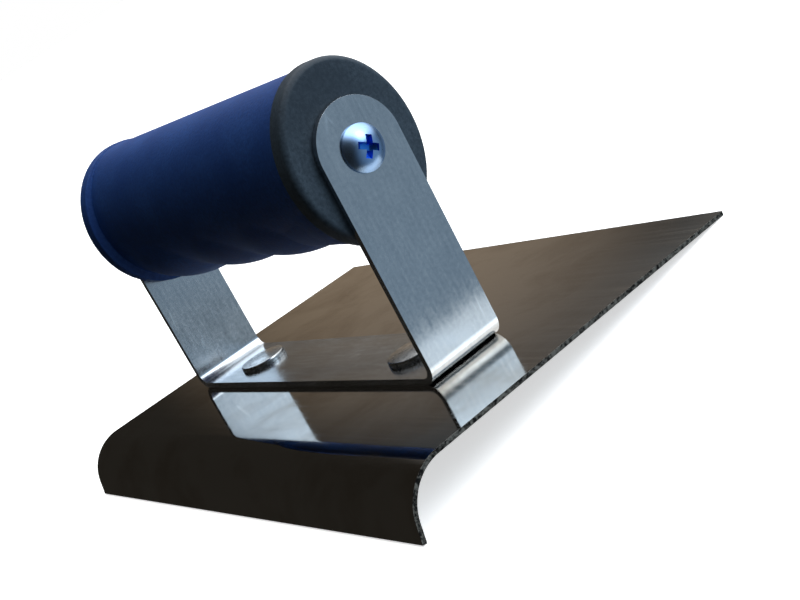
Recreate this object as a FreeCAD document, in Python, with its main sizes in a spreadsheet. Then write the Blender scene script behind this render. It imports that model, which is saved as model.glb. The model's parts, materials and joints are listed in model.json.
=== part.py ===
"""Hand edger for concrete: a polished blade with a rounded lip, a riveted strap bracket and an oval grip.

Frame, in millimetres: +X runs along the lip, +Y points from the lip to the blade's far edge and +Z points
up, away from the slab. The origin lies on the sole, midway along the blade, straight below the grip's axis.

Every piece is a body of its own. Its outlines are sketches whose corner coordinates and radii are
expressions on the sheet named "sizes", so a changed cell moves everything that fits, seats or lines up.
"""
import FreeCAD, Part
import math
import os

import Sketcher

# alias, value in millimetres (or degrees where it says so), what it measures
SIZES = (
    ("blade_length", 150.0, "blade, along the lip"),
    ("flat_depth", 88.0, "flat of the blade, from the bend to the far edge"),
    ("sheet", 1.0, "thickness of the blade"),
    ("lip_radius", 10.0, "inside radius of the bend, the round it leaves on a slab"),
    ("lip_angle", 79.0, "turn of the bend, in degrees"),
    ("lip_drop", 12.5, "from the top of the flat down to the lip's outer corner"),
    ("grip_setback", 30.5, "from the bend back to the grip's axis"),
    ("axis_height", 49.0, "from the sole up to the grip's axis"),
    ("bracket_length", 108.8, "over the outsides of the two legs"),
    ("bracket_shift", -3.4, "middle of the bracket from the middle of the blade"),
    ("leg_over", 0.5, "centre of a leg's rounded end above the grip's axis"),
    ("strap_width", 20.0, "width of the bracket's strap"),
    ("strap", 1.5, "thickness of the bracket's strap"),
    ("strap_bend", 2.5, "inside radius of the strap's two bends"),
    ("rivet_spacing", 69.0, "between the two rivets"),
    ("rivet_shank", 5.0, "diameter of a rivet's shank"),
    ("rivet_head", 12.0, "diameter of a rivet's head"),
    ("rivet_rim", 1.1, "height of the head's upright rim"),
    ("rivet_crown", 0.6, "rise of the head above its rim"),
    ("rivet_flare", 0.7, "widening and depth of the tail set flush in the sole"),
    ("screw_shank", 5.0, "diameter of a screw's shank"),
    ("screw_head", 9.8, "diameter of a screw's head"),
    ("screw_rim", 0.5, "height of the head's upright rim"),
    ("screw_crown", 2.2, "rise of the head above its rim"),
    ("screw_reach", 16.0, "length of the shank beyond the strap"),
    ("screw_point", 0.8, "chamfer at the end of the shank"),
    ("recess_span", 4.7, "cross recess, over two opposite arms"),
    ("recess_slot", 1.45, "width of an arm of the cross recess"),
    ("recess_depth", 2.0, "depth of the cross recess"),
    ("recess_turn", 60.0, "turn of the cross recess about the screw, in degrees"),
    ("rod_size", 10.0, "diameter of the tie rod"),
    ("rod_chamfer", 0.6, "chamfer at the mouths of the rod's tapped holes"),
    ("rod_spare", 3.0, "tapped depth left beyond the end of a screw"),
    ("grip_width", 29.2, "grip, across the oval"),
    ("grip_tall", 35.4, "grip, up the oval"),
    ("grip_lift", 0.7, "middle of the oval above the axis, which is midway between its top and the lobes"),
    ("grip_wall", 3.0, "wall of the hollow grip"),
    ("flange_width", 33.8, "moulded left flange, across"),
    ("flange_tall", 37.6, "moulded left flange, up"),
    ("flange_thick", 4.6, "thickness of the moulded left flange"),
    ("flange_round", 1.1, "rounding of the flange's outer rim"),
    ("lobe_pitch", 25.5, "between the notches that part the finger lobes"),
    ("lobe_rise", 1.3, "height of a lobe one pitch long above the notches beside it"),
    ("lobe_end", 14.5, "from the last notch to the grip's right end"),
    ("cap_width", 31.6, "end cap, across the oval"),
    ("cap_tall", 38.4, "end cap, up the oval"),
    ("cap_thick", 4.6, "thickness of the end cap's disc"),
    ("cap_round", 1.3, "rounding of the cap's outer rim"),
    ("plug_depth", 9.0, "length of the ring that plugs the cap into the grip"),
    ("plug_wall", 2.0, "wall of that ring"),
    ("hub_wall", 2.5, "wall of the hub round the tie rod"),
    ("fixed_fit", 0.05, "radial gap round rivets and screws"),
    ("running_fit", 0.08, "radial gap between the tie rod and the bores it carries"),
    ("plug_fit", 0.10, "gap between the cap's ring and the grip"),
    ("end_play", 0.25, "gap between the grip and each leg"),
)

# Places and sizes that several pieces share, as expressions on the sheet.
STRAP_TOP = "(sizes.sheet + sizes.strap)"
LEG_RISE = "(sizes.axis_height - sizes.sheet)"
END_RISE = f"({LEG_RISE} + sizes.leg_over)"
ROD_HALF = "(sizes.bracket_length / 2 - sizes.strap)"
GRIP_HALF = f"({ROD_HALF} - sizes.end_play)"
SHELL_END = f"({GRIP_HALF} - sizes.cap_thick)"
HOLLOW_WIDTH = "(sizes.grip_width - 2 * sizes.grip_wall)"
HOLLOW_TALL = "(sizes.grip_tall - 2 * sizes.grip_wall)"
RIVET_HOLE = "(sizes.rivet_shank + 2 * sizes.fixed_fit)"
SCREW_HOLE = "(sizes.screw_shank + 2 * sizes.fixed_fit)"
ROD_BORE = "(sizes.rod_size + 2 * sizes.running_fit)"
LOBE_RADIUS = "(((sizes.lobe_pitch / 2)^2 + sizes.lobe_rise^2) / (2 * sizes.lobe_rise))"
LOBE_LIFT = "((sizes.grip_width / 2)^2 / (sizes.grip_tall / 2))"
NOTCH_COUNT = 3
OVERCUT = 5.0
SAME_PLACE = 0.01

doc = FreeCAD.newDocument("hand_edger")
sheet = doc.addObject("Spreadsheet::Sheet", "sizes")
for row, (alias, value, meaning) in enumerate(SIZES, start=1):
    sheet.set(f"A{row}", alias)
    sheet.set(f"B{row}", str(value))
    sheet.set(f"C{row}", meaning)
    sheet.setAlias(f"B{row}", alias)
doc.recompute()


def number(expression):
    """The present value of an expression on the sheet."""
    return float(sheet.evalExpression(str(expression)))


# --- sketches ------------------------------------------------------------------------------------------

def new_sketch(body, role, name, lift="0", turn="0"):
    """A sketch on one of the body's origin planes, lifted along the plane's normal and turned about it."""
    sketch = body.newObject("Sketcher::SketchObject", name)
    plane = next(item for item in body.Origin.OriginFeatures if item.Role == role)
    sketch.AttachmentSupport = [(plane, "")]
    sketch.MapMode = "FlatFace"
    sketch.setExpression(".AttachmentOffset.Base.z", str(lift))
    sketch.setExpression(".AttachmentOffset.Rotation.Angle", str(turn))
    return sketch


def constrain(sketch, kind, *places, size):
    """Add one dimension whose value is an expression on the sheet."""
    index = sketch.addConstraint(Sketcher.Constraint(kind, *places, number(size)))
    sketch.setExpression(f"Constraints[{index}]", str(size))


def arc_centre(start, end, radius):
    """Centre of the shorter arc that turns left on its way from start to end."""
    chord = end - start
    half = chord.Length / 2
    left = FreeCAD.Vector(-chord.y, chord.x, 0).normalize()
    return start + chord / 2 + left * math.sqrt(max(radius * radius - half * half, 0.0))


def outline(sketch, corners, arcs=None):
    """A closed outline through corners given as expression pairs.

    arcs maps the index of a corner to (radius, turn) where the edge that leaves it is an arc: turn is +1
    for one that turns left and -1 for one that turns right.
    """
    arcs = arcs or {}
    points = [FreeCAD.Vector(number(across), number(up), 0) for across, up in corners]
    ends = []
    for index, start in enumerate(points):
        end = points[(index + 1) % len(points)]
        if index not in arcs:
            edge = sketch.addGeometry(Part.LineSegment(start, end))
            ends.append((edge, 1, 2))
            continue
        radius, turn = arcs[index]
        first, last = (start, end) if turn > 0 else (end, start)
        centre = arc_centre(first, last, number(radius))
        circle = Part.Circle(centre, FreeCAD.Vector(0, 0, 1), number(radius))
        from_angle = math.atan2(first.y - centre.y, first.x - centre.x)
        to_angle = math.atan2(last.y - centre.y, last.x - centre.x)
        edge = sketch.addGeometry(Part.ArcOfCircle(circle, from_angle, to_angle))
        ends.append((edge, 1, 2) if turn > 0 else (edge, 2, 1))
    for index, (edge, _, far_end) in enumerate(ends):
        next_edge, next_start, _ = ends[(index + 1) % len(ends)]
        sketch.addConstraint(Sketcher.Constraint("Coincident", edge, far_end, next_edge, next_start))
    for (edge, start_end, _), (across, up) in zip(ends, corners):
        constrain(sketch, "DistanceX", edge, start_end, size=across)
        constrain(sketch, "DistanceY", edge, start_end, size=up)
    for index, (radius, _) in arcs.items():
        constrain(sketch, "Radius", ends[index][0], size=radius)


def circle(sketch, diameter, across="0", up="0"):
    """A circle of that diameter about a point given as an expression pair."""
    centre = FreeCAD.Vector(number(across), number(up), 0)
    ring = sketch.addGeometry(Part.Circle(centre, FreeCAD.Vector(0, 0, 1), number(diameter) / 2))
    constrain(sketch, "DistanceX", ring, 3, size=across)
    constrain(sketch, "DistanceY", ring, 3, size=up)
    constrain(sketch, "Diameter", ring, size=diameter)


def oval(sketch, width, tall, lift="0"):
    """An ellipse, width across and tall up, whose centre is that far above the sketch's origin."""
    wide_first = number(width) > number(tall)
    long_size, short_size = (width, tall) if wide_first else (tall, width)
    long_half = number(long_size) / 2
    short_half = number(short_size) / 2
    across = FreeCAD.Vector(1, 0, 0)
    up = FreeCAD.Vector(0, 1, 0)
    long_way, short_way = (across, up) if wide_first else (up, across)
    centre = FreeCAD.Vector(0, number(lift), 0)
    shape = Part.Ellipse(centre + long_way * long_half, centre + short_way * short_half, centre)
    ellipse = sketch.addGeometry(shape)
    long_axis = ellipse + 1
    short_axis = ellipse + 2
    sketch.exposeInternalGeometry(ellipse)
    constrain(sketch, "DistanceX", ellipse, 3, size="0")
    constrain(sketch, "DistanceY", ellipse, 3, size=lift)
    sketch.addConstraint(Sketcher.Constraint("Horizontal" if wide_first else "Vertical", long_axis))
    constrain(sketch, "Distance", long_axis, size=long_size)
    constrain(sketch, "Distance", short_axis, size=short_size)


# --- features ------------------------------------------------------------------------------------------

def new_body(label, across="0", back="0", up="0"):
    """An empty body whose own origin stands at a point given as three expressions."""
    body = doc.addObject("PartDesign::Body", label)
    body.Label = label
    body.setExpression(".Placement.Base.x", across)
    body.setExpression(".Placement.Base.y", back)
    body.setExpression(".Placement.Base.z", up)
    return body


def volume_of(body):
    """Volume of the body's shape as it stands."""
    doc.recompute()
    return body.Shape.Volume


def pad(body, sketch, length, both_ways=False, backwards=False):
    """Extrude a sketch into the body."""
    feature = body.newObject("PartDesign::Pad", sketch.Name + "_pad")
    feature.Profile = sketch
    feature.SideType = "Symmetric" if both_ways else "One side"
    feature.Reversed = backwards
    feature.setExpression("Length", str(length))
    doc.recompute()
    return feature


def cut(body, sketch, depth=None, forwards=False):
    """Cut a sketch out of the body: to a depth behind its plane, or right through both ways."""
    before = body.Shape.Volume
    feature = body.newObject("PartDesign::Pocket", sketch.Name + "_cut")
    feature.Profile = sketch
    feature.Reversed = forwards
    if depth is None:
        feature.SideType = "Symmetric"
        feature.Type = "ThroughAll"
    else:
        feature.setExpression("Length", str(depth))
    if volume_of(body) >= before:
        raise RuntimeError(f"{feature.Label} removes nothing")
    return feature


def revolve(body, sketch, axis="H_Axis"):
    """Turn a sketch once round one of its own axes."""
    feature = body.newObject("PartDesign::Revolution", sketch.Name + "_turn")
    feature.Profile = sketch
    feature.ReferenceAxis = (sketch, [axis])
    feature.Angle = 360.0
    doc.recompute()
    return feature


def edges_where(feature, test):
    """Names of the feature's edges whose bounding box passes a test."""
    edges = enumerate(feature.Shape.Edges, start=1)
    return [f"Edge{index}" for index, edge in edges if test(edge.BoundBox)]


def soften(body, feature, kind, size, test):
    """Fillet or chamfer the edges of the body's last feature that pass a test."""
    names = edges_where(feature, test)
    if not names:
        raise RuntimeError(f"no edge to soften on {feature.Label}")
    made = body.newObject(f"PartDesign::{kind}", f"{feature.Name}_{kind.lower()}")
    made.Base = (feature, names)
    made.setExpression("Radius" if kind == "Fillet" else "Size", str(size))
    doc.recompute()
    return made


def near(value, expression):
    """Whether a coordinate lies at the place an expression gives."""
    return abs(value - number(expression)) < SAME_PLACE


def flat_at(box, level):
    """Whether an edge's box is a level line along the strap's width, at the height an expression gives."""
    return near(box.ZMin, level) and near(box.ZLength, "0") and near(box.XLength, "0")


# --- pieces --------------------------------------------------------------------------------------------

def make_blade():
    """The sheet: a flat whose front edge rolls down into the lip, with two flared rivet holes."""
    turn_sine = "sin(sizes.lip_angle)"
    turn_cosine = "cos(sizes.lip_angle)"
    outer = "(sizes.lip_radius + sizes.sheet)"
    bend = "-sizes.grip_setback"
    far = "(sizes.flat_depth - sizes.grip_setback)"
    outer_end = (f"{bend} - {outer} * {turn_sine}", f"-sizes.lip_radius + {outer} * {turn_cosine}")
    inner_end = (
        f"{bend} - sizes.lip_radius * {turn_sine}",
        f"-sizes.lip_radius + sizes.lip_radius * {turn_cosine}",
    )
    corner_up = "(sizes.sheet - sizes.lip_drop)"
    straight_run = f"(({outer_end[1]}) - {corner_up}) * {turn_cosine} / {turn_sine}"
    corner_across = f"{outer_end[0]} - {straight_run}"
    inner_corner = (
        f"{corner_across} + sizes.sheet * {turn_sine}",
        f"{corner_up} - sizes.sheet * {turn_cosine}",
    )
    corners = (
        (far, "sizes.sheet"),
        (bend, "sizes.sheet"),
        outer_end,
        (corner_across, corner_up),
        inner_corner,
        inner_end,
        (bend, "0"),
        (far, "0"),
    )
    body = new_body("blade")
    section = new_sketch(body, "YZ_Plane", "blade_section")
    outline(section, corners, {1: (outer, 1), 5: ("sizes.lip_radius", -1)})
    pad(body, section, "sizes.blade_length", both_ways=True)
    holes = new_sketch(body, "XY_Plane", "blade_holes")
    for side in (-1, 1):
        across = f"sizes.bracket_shift + {side} * sizes.rivet_spacing / 2"
        circle(holes, RIVET_HOLE, across)
    drilled = cut(body, holes)

    def mouth(box):
        return near(box.ZMin, "0") and near(box.ZMax, "0") and near(box.YLength, RIVET_HOLE)

    soften(body, drilled, "Chamfer", "sizes.rivet_flare", mouth)
    return body


def make_bracket():
    """The strap: a riveted base with two upright legs, each rounded off just above the grip's axis."""
    half = "sizes.bracket_length / 2"
    inner = ROD_HALF
    half_width = "sizes.strap_width / 2"
    top = f"({END_RISE} + {half_width})"
    body = new_body("bracket", across="sizes.bracket_shift", up="sizes.sheet")
    block = new_sketch(body, "XZ_Plane", "bracket_block")
    outline(block, ((f"-{half}", "0"), (half, "0"), (half, top), (f"-{half}", top)))
    pad(body, block, "sizes.strap_width", both_ways=True)
    gap = new_sketch(body, "XZ_Plane", "bracket_gap")
    over = f"{top} + {OVERCUT}"
    outline(gap, ((f"-{inner}", "sizes.strap"), (inner, "sizes.strap"), (inner, over), (f"-{inner}", over)))
    channel = cut(body, gap)

    def inner_corner(box):
        return flat_at(box, "sizes.strap")

    def outer_corner(box):
        return flat_at(box, "0")

    inside = soften(body, channel, "Fillet", "sizes.strap_bend", inner_corner)
    soften(body, inside, "Fillet", "sizes.strap_bend + sizes.strap", outer_corner)
    ends = new_sketch(body, "YZ_Plane", "bracket_ends")
    over_wide = f"{half_width} + {OVERCUT}"
    corners = (
        (half_width, END_RISE),
        ("0", top),
        (f"-{half_width}", END_RISE),
        (f"-({over_wide})", END_RISE),
        (f"-({over_wide})", over),
        (over_wide, over),
        (over_wide, END_RISE),
    )
    outline(ends, corners, {0: (half_width, 1), 1: (half_width, 1)})
    cut(body, ends)
    screw_holes = new_sketch(body, "YZ_Plane", "bracket_screw_holes")
    circle(screw_holes, SCREW_HOLE, "0", LEG_RISE)
    cut(body, screw_holes)
    rivet_holes = new_sketch(body, "XY_Plane", "bracket_rivet_holes")
    for side in (-1, 1):
        circle(rivet_holes, RIVET_HOLE, f"{side} * sizes.rivet_spacing / 2")
    cut(body, rivet_holes)
    return body


def make_rivet(label, side):
    """A low-headed rivet through strap and blade, its tail flared flush with the sole."""
    tail = "sizes.rivet_shank / 2 + sizes.rivet_flare"
    rim_top = f"{STRAP_TOP} + sizes.rivet_rim"
    crown = "((sizes.rivet_head / 2)^2 + sizes.rivet_crown^2) / (2 * sizes.rivet_crown)"
    corners = (
        ("0", "0"),
        (tail, "0"),
        ("sizes.rivet_shank / 2", "sizes.rivet_flare"),
        ("sizes.rivet_shank / 2", STRAP_TOP),
        ("sizes.rivet_head / 2", STRAP_TOP),
        ("sizes.rivet_head / 2", rim_top),
        ("0", f"{rim_top} + sizes.rivet_crown"),
    )
    body = new_body(label, across=f"sizes.bracket_shift + {side} * sizes.rivet_spacing / 2")
    section = new_sketch(body, "XZ_Plane", f"{label}_section")
    outline(section, corners, {5: (crown, 1)})
    revolve(body, section, "V_Axis")
    return body


def make_screw(label, side):
    """A domed cross-recessed screw whose head seats on the outside of one leg."""
    head = "sizes.screw_head / 2"
    shank = "sizes.screw_shank / 2"
    length = "(sizes.strap + sizes.screw_reach)"
    top = "(sizes.screw_rim + sizes.screw_crown)"
    dome = f"(({head})^2 + sizes.screw_crown^2) / (2 * sizes.screw_crown)"
    corners = (
        (f"-{length}", "0"),
        (top, "0"),
        ("sizes.screw_rim", head),
        ("0", head),
        ("0", shank),
        (f"sizes.screw_point - {length}", shank),
        (f"-{length}", f"{shank} - sizes.screw_point"),
    )
    seat = f"sizes.bracket_shift + {side} * sizes.bracket_length / 2"
    body = new_body(label, across=seat, up="sizes.axis_height")
    body.Placement.Rotation = FreeCAD.Rotation(FreeCAD.Vector(0, 0, 1), 0 if side > 0 else 180)
    section = new_sketch(body, "XZ_Plane", f"{label}_section")
    outline(section, corners, {1: (dome, 1)})
    revolve(body, section)
    arm = "sizes.recess_span / 2"
    slot = "sizes.recess_slot / 2"
    cross = (
        (arm, f"-{slot}"), (arm, slot), (slot, slot), (slot, arm), (f"-{slot}", arm), (f"-{slot}", slot),
        (f"-{arm}", slot), (f"-{arm}", f"-{slot}"), (f"-{slot}", f"-{slot}"), (f"-{slot}", f"-{arm}"),
        (slot, f"-{arm}"), (slot, f"-{slot}"),
    )
    recess = new_sketch(body, "YZ_Plane", f"{label}_recess", lift=top, turn="sizes.recess_turn")
    outline(recess, cross)
    cut(body, recess, "sizes.recess_depth")
    return body


def make_tie_rod():
    """The rod that the screws clamp between the legs; the grip turns on it."""
    body = new_body("tie_rod", across="sizes.bracket_shift", up="sizes.axis_height")
    section = new_sketch(body, "YZ_Plane", "rod_section")
    circle(section, "sizes.rod_size")
    pad(body, section, f"2 * {ROD_HALF}", both_ways=True)
    for name, lift, forwards in (("left", f"-{ROD_HALF}", True), ("right", ROD_HALF, False)):
        mouth = new_sketch(body, "YZ_Plane", f"rod_hole_{name}", lift=lift)
        circle(mouth, SCREW_HOLE)
        drilled = cut(body, mouth, "sizes.screw_reach + sizes.rod_spare", forwards=forwards)

        def rim(box):
            return near(box.XLength, "0") and near(box.XMin, lift) and near(box.YLength, SCREW_HOLE)

        soften(body, drilled, "Chamfer", "sizes.rod_chamfer", rim)
    return body


def lobe_outline():
    """Half section of the finger lobes: arcs between notches, closed along the axis they are turned round.

    The axis is the centre of curvature of the oval's lowest point, so the notches just meet the oval and
    the lobes fade out up its sides. Every lobe has the same radius. The first one runs from the flange, and
    the cap cuts the last one short.
    """
    start = f"(sizes.flange_thick - {GRIP_HALF})"
    notches = [f"({SHELL_END} - sizes.lobe_end - {step} * sizes.lobe_pitch)" for step in range(NOTCH_COUNT)]
    past_crest = "(sizes.lobe_end - sizes.lobe_pitch / 2)"
    end_rise = f"{LOBE_LIFT} + sizes.lobe_rise - {LOBE_RADIUS} + sqrt({LOBE_RADIUS}^2 - {past_crest}^2)"
    corners = [(start, "0"), (start, LOBE_LIFT)]
    corners += [(notch, LOBE_LIFT) for notch in reversed(notches)]
    corners += [(SHELL_END, end_rise), (SHELL_END, "0")]
    arcs = {index: (LOBE_RADIUS, -1) for index in range(1, len(corners) - 2)}
    return corners, arcs


def make_grip():
    """The hollow moulding: an oval tube with finger lobes below, closed by its own flange on the left."""
    body = new_body("grip", across="sizes.bracket_shift", up="sizes.axis_height")
    tube = new_sketch(body, "YZ_Plane", "grip_oval", lift=f"-{GRIP_HALF}")
    oval(tube, "sizes.grip_width", "sizes.grip_tall", "sizes.grip_lift")
    pad(body, tube, f"{GRIP_HALF} + {SHELL_END}")
    corners, arcs = lobe_outline()
    lobe_axis = f"{LOBE_LIFT} - sizes.grip_tall / 2 + sizes.grip_lift"
    lobes = new_sketch(body, "XY_Plane", "grip_lobes", lift=lobe_axis)
    outline(lobes, corners, arcs)
    revolve(body, lobes)
    flange = new_sketch(body, "YZ_Plane", "grip_flange", lift=f"-{GRIP_HALF}")
    oval(flange, "sizes.flange_width", "sizes.flange_tall")
    flanged = pad(body, flange, "sizes.flange_thick")

    def outer_rim(box):
        return near(box.XMin, f"-{GRIP_HALF}") and near(box.XMax, f"-{GRIP_HALF}")

    soften(body, flanged, "Fillet", "sizes.flange_round", outer_rim)
    hollow = new_sketch(body, "YZ_Plane", "grip_hollow", lift=SHELL_END)
    oval(hollow, HOLLOW_WIDTH, HOLLOW_TALL, "sizes.grip_lift")
    cut(body, hollow, f"{GRIP_HALF} + {SHELL_END} - sizes.flange_thick")
    bore = new_sketch(body, "YZ_Plane", "grip_bore")
    circle(bore, ROD_BORE)
    cut(body, bore)
    return body


def make_end_cap():
    """The cap that closes the grip's right end: a rimmed disc, a plug ring and a hub for the tie rod."""
    body = new_body("end_cap", across="sizes.bracket_shift", up="sizes.axis_height")
    disc = new_sketch(body, "YZ_Plane", "cap_disc", lift=SHELL_END)
    oval(disc, "sizes.cap_width", "sizes.cap_tall")
    plate = pad(body, disc, "sizes.cap_thick")

    def outer_rim(box):
        return near(box.XMin, GRIP_HALF) and near(box.XMax, GRIP_HALF)

    soften(body, plate, "Fillet", "sizes.cap_round", outer_rim)
    ring = new_sketch(body, "YZ_Plane", "cap_ring", lift=SHELL_END)
    fit_loss = "2 * sizes.plug_fit"
    oval(ring, f"{HOLLOW_WIDTH} - {fit_loss}", f"{HOLLOW_TALL} - {fit_loss}", "sizes.grip_lift")
    pad(body, ring, "sizes.plug_depth", backwards=True)
    inside = new_sketch(body, "YZ_Plane", "cap_ring_inside", lift=f"{SHELL_END} - sizes.plug_depth")
    ring_loss = "2 * (sizes.plug_fit + sizes.plug_wall)"
    oval(inside, f"{HOLLOW_WIDTH} - {ring_loss}", f"{HOLLOW_TALL} - {ring_loss}", "sizes.grip_lift")
    cut(body, inside, "sizes.plug_depth", forwards=True)
    hub = new_sketch(body, "YZ_Plane", "cap_hub", lift=SHELL_END)
    circle(hub, f"{ROD_BORE} + 2 * sizes.hub_wall")
    pad(body, hub, "sizes.plug_depth", backwards=True)
    bore = new_sketch(body, "YZ_Plane", "cap_bore")
    circle(bore, ROD_BORE)
    cut(body, bore)
    return body


pieces = [
    make_blade(),
    make_bracket(),
    make_rivet("rivet_left", -1),
    make_rivet("rivet_right", 1),
    make_tie_rod(),
    make_screw("screw_left", -1),
    make_screw("screw_right", 1),
    make_grip(),
    make_end_cap(),
]

doc.recompute()
failed = [item.Name for item in doc.Objects if {"Invalid", "Error"} & set(item.State)]
if failed:
    raise RuntimeError(f"features failed: {failed}")
for piece in pieces:
    shape = piece.Shape
    if shape.isNull() or not shape.isValid() or len(shape.Solids) != 1:
        raise RuntimeError(f"{piece.Label} is not one valid solid")

os.makedirs("parts", exist_ok=True)
for piece in pieces:
    piece.Shape.exportStep(f"parts/{piece.Label}.step")
    box = piece.Shape.BoundBox
    print(f"{piece.Label}: {piece.Shape.Volume:.1f} mm3, x {box.XMin:.2f} to {box.XMax:.2f},"
          f" y {box.YMin:.2f} to {box.YMax:.2f}, z {box.ZMin:.2f} to {box.ZMax:.2f}")
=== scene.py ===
"""A concrete hand edger: rolled steel blade, strap bracket, rivets, tie rod, screws, grip and end cap.

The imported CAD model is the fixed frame. Every piece below is worked out in metres in that frame, rides on a
CAD body and stands for one CAD node. Only the tie rod stays as the CAD made it.
"""
import json
import logging
import math
from collections.abc import Callable
from dataclasses import dataclass, field
from enum import Enum

import bmesh
import bpy
import numpy as np
from mathutils import Matrix, Vector


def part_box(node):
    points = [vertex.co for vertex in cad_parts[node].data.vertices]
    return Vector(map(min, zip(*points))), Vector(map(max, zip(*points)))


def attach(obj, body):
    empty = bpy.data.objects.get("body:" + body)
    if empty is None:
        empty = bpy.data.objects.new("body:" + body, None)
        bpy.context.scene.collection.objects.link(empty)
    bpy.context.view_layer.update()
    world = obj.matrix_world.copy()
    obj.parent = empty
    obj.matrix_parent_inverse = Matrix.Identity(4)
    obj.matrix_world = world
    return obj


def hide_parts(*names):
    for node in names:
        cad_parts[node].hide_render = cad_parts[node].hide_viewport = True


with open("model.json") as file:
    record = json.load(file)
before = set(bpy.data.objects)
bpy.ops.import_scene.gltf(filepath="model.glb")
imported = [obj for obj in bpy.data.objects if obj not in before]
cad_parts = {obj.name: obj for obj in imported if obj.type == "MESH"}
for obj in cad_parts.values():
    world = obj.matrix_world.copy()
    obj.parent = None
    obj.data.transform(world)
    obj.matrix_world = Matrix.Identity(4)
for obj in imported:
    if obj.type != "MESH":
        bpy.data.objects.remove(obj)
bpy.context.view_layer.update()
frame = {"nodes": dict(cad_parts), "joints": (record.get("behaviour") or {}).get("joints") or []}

MM = 0.001
WELD = 0.0005 * MM
QUARTER = math.pi / 2

Object = bpy.types.Object
Material = bpy.types.Material
Node = bpy.types.Node
Tree = bpy.types.NodeTree
Socket = bpy.types.NodeSocket
Array = np.ndarray
Span = tuple[float, float]

log = logging.getLogger("hand_edger")


class Body(Enum):
    """The CAD bodies that a piece can ride on."""

    FRAME = "frame"
    GRIP = "grip"


class Side(Enum):
    """Which end of the tool a repeated piece sits at."""

    LEFT = -1
    RIGHT = 1


# --- small tools ---

def linear(hex_code: str) -> tuple[float, float, float, float]:
    """Turns an sRGB hex colour into linear red, green, blue and full alpha.

    Args:
        hex_code: Six hex digits after a hash sign.

    Returns:
        The linear colour with alpha 1.
    """
    channels = [int(hex_code[start:start + 2], 16) / 255 for start in (1, 3, 5)]
    curved = [c / 12.92 if c <= 0.04045 else ((c + 0.055) / 1.055) ** 2.4 for c in channels]
    return (*curved, 1.0)


def add(tree: Tree, kind: str, inputs: dict | list | tuple = (), **settings) -> Node:
    """Adds one shader node with its settings, values and links.

    Args:
        tree: The node tree that gets the node.
        kind: Blender's type name without its ShaderNode prefix.
        inputs: What its inputs get, as feed takes it.
        settings: The node's own properties.

    Returns:
        The new node.
    """
    node = tree.nodes.new("ShaderNode" + kind)
    for name, value in settings.items():
        setattr(node, name, value)
    feed(tree, node, inputs)
    return node


def feed(tree: Tree, node: Node, inputs: dict | list | tuple) -> None:
    """Gives a node's inputs their values and links.

    Args:
        tree: The node tree.
        node: The node to feed.
        inputs: Values by input name or number, or a list in the node's own order. A socket is linked, and so
            is another node, by its first output.
    """
    named = inputs if isinstance(inputs, dict) else dict(enumerate(inputs))
    for name, value in named.items():
        source = value.outputs[0] if isinstance(value, Node) else value
        if isinstance(source, Socket):
            tree.links.new(source, node.inputs[name])
        else:
            node.inputs[name].default_value = source


def per_metre(spacing_mm: float) -> float:
    """Pattern scale, in cycles per metre, of a pattern that repeats every spacing_mm."""
    return 1.0 / (spacing_mm * MM)


class Skin:
    """Gathers grids of points into one mesh, welds them and turns every face outwards."""

    def __init__(self) -> None:
        """Starts with no points and no faces."""
        self.points: list[Array] = []
        self.faces: list[Array] = []
        self.finishes: list[Array] = []
        self.maps: list[Array] = []
        self.count = 0

    def grid(self, points: Array, closed: bool = False, finish: int = 0,
             chart: Array | None = None) -> None:
        """Adds the quads between neighbouring points of a grid.

        Args:
            points: Positions, rows by columns by 3.
            closed: Whether the last column joins the first.
            finish: Material number of the new faces.
            chart: Map coordinates, rows by columns by 2, for patterns that follow the surface.
        """
        rows, columns = points.shape[:2]
        index = np.arange(rows * columns).reshape(rows, columns) + self.count
        right = np.roll(index, -1, axis=1) if closed else index[:, 1:]
        left = index if closed else index[:, :-1]
        quads = np.stack([left[:-1], right[:-1], right[1:], left[1:]], axis=-1).reshape(-1, 4)
        flat = points.reshape(-1, 3)
        self.points.append(flat)
        self.faces.append(quads)
        self.finishes.append(np.full(len(quads), finish))
        self.maps.append(flat[:, :2] if chart is None else chart.reshape(-1, 2))
        self.count += rows * columns

    def build(self, name: str, sharp: float = math.radians(35)) -> Object:
        """Makes the object.

        Args:
            name: The piece's name.
            sharp: Faces that meet at more than this angle keep a hard edge.

        Returns:
            The object, at the origin, with its place in its mesh.
        """
        points = np.concatenate(self.points)
        faces = np.concatenate(self.faces)
        mesh = bpy.data.meshes.new(name)
        mesh.from_pydata(points.tolist(), [], faces.tolist())
        mesh.polygons.foreach_set("material_index", np.concatenate(self.finishes).astype(np.int32))
        chart = np.concatenate(self.maps)[faces.reshape(-1)]
        mesh.uv_layers.new(name="follow").data.foreach_set("uv", chart.astype(np.float32).reshape(-1))
        tidy(mesh)
        mesh.set_sharp_from_angle(angle=sharp)
        made = bpy.data.objects.new(name, mesh)
        bpy.context.scene.collection.objects.link(made)
        return made


def tidy(mesh: bpy.types.Mesh) -> None:
    """Welds doubled points, drops empty faces, turns faces outwards and shades them smooth.

    Args:
        mesh: The mesh to clean in place.
    """
    work = bmesh.new()
    work.from_mesh(mesh)
    bmesh.ops.remove_doubles(work, verts=work.verts, dist=WELD)
    bmesh.ops.dissolve_degenerate(work, edges=work.edges, dist=WELD)
    bmesh.ops.recalc_face_normals(work, faces=work.faces)
    for face in work.faces:
        face.smooth = True
    work.to_mesh(mesh)
    work.free()


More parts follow.
